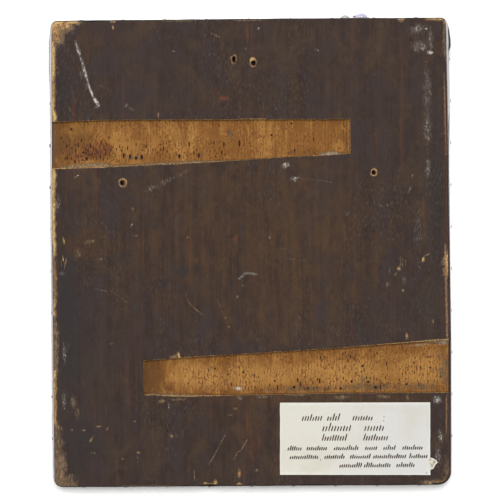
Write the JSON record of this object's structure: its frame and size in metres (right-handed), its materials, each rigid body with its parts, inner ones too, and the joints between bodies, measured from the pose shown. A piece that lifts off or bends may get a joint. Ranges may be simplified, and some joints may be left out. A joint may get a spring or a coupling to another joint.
{
  "type": "embroidered icon",
  "caption": "Icon panel lying face down: stained board with tapered dovetail grooves in its back, a silvered sheet cover over its margins and sides, and stretched embroidered cloth in front.",
  "frame": {"origin": "on the surface it lies on, under the middle of the whole icon", "axes": "+Z out of the icon's back, +Y towards the icon's top edge, +X to the right as the back is looked at; the embroidered front faces -Z"},
  "size_m": [0.2706, 0.3176, 0.0295],
  "materials": {
    "stained_wood": "satin, dark brown stain with worn arrises",
    "silvered_sheet": "silvered, dulled",
    "nail_metal": "dull",
    "embroidery": "dull crimson with metal thread",
    "lilac_glass": "polished",
    "purple_glass": "polished",
    "label_paper": "matt"
  },
  "bodies": {
    "root": {"wooden_board": "stained_wood", "metal_cover": "silvered_sheet", "embroidered_cloth": "embroidery", "stone_setting": "silvered_sheet", "lilac_stone": "lilac_glass", "purple_bead": "purple_glass", "paper_label": "label_paper", "paper_scrap": "label_paper", "cover_nail_01": "nail_metal", "cover_nail_02": "nail_metal", "cover_nail_03": "nail_metal", "cover_nail_04": "nail_metal", "cover_nail_05": "nail_metal", "cover_nail_06": "nail_metal", "cover_nail_07": "nail_metal", "cover_nail_08": "nail_metal", "cover_nail_09": "nail_metal", "cover_nail_10": "nail_metal", "cover_nail_11": "nail_metal", "cover_nail_12": "nail_metal", "cover_nail_13": "nail_metal", "cover_nail_14": "nail_metal", "cover_nail_15": "nail_metal", "cover_nail_16": "nail_metal", "cover_nail_17": "nail_metal", "cover_nail_18": "nail_metal", "cover_nail_19": "nail_metal", "cover_nail_20": "nail_metal", "cover_nail_21": "nail_metal", "cover_nail_22": "nail_metal", "cover_nail_23": "nail_metal", "cover_nail_24": "nail_metal", "cover_nail_25": "nail_metal", "cover_nail_26": "nail_metal", "cover_nail_27": "nail_metal", "cover_nail_28": "nail_metal", "cover_nail_29": "nail_metal", "cover_nail_30": "nail_metal", "cover_nail_31": "nail_metal", "cover_nail_32": "nail_metal", "cover_nail_33": "nail_metal", "cover_nail_34": "nail_metal", "cover_nail_35": "nail_metal", "cover_nail_36": "nail_metal", "cover_nail_37": "nail_metal", "cover_nail_38": "nail_metal"}
  },
  "joints": []
}
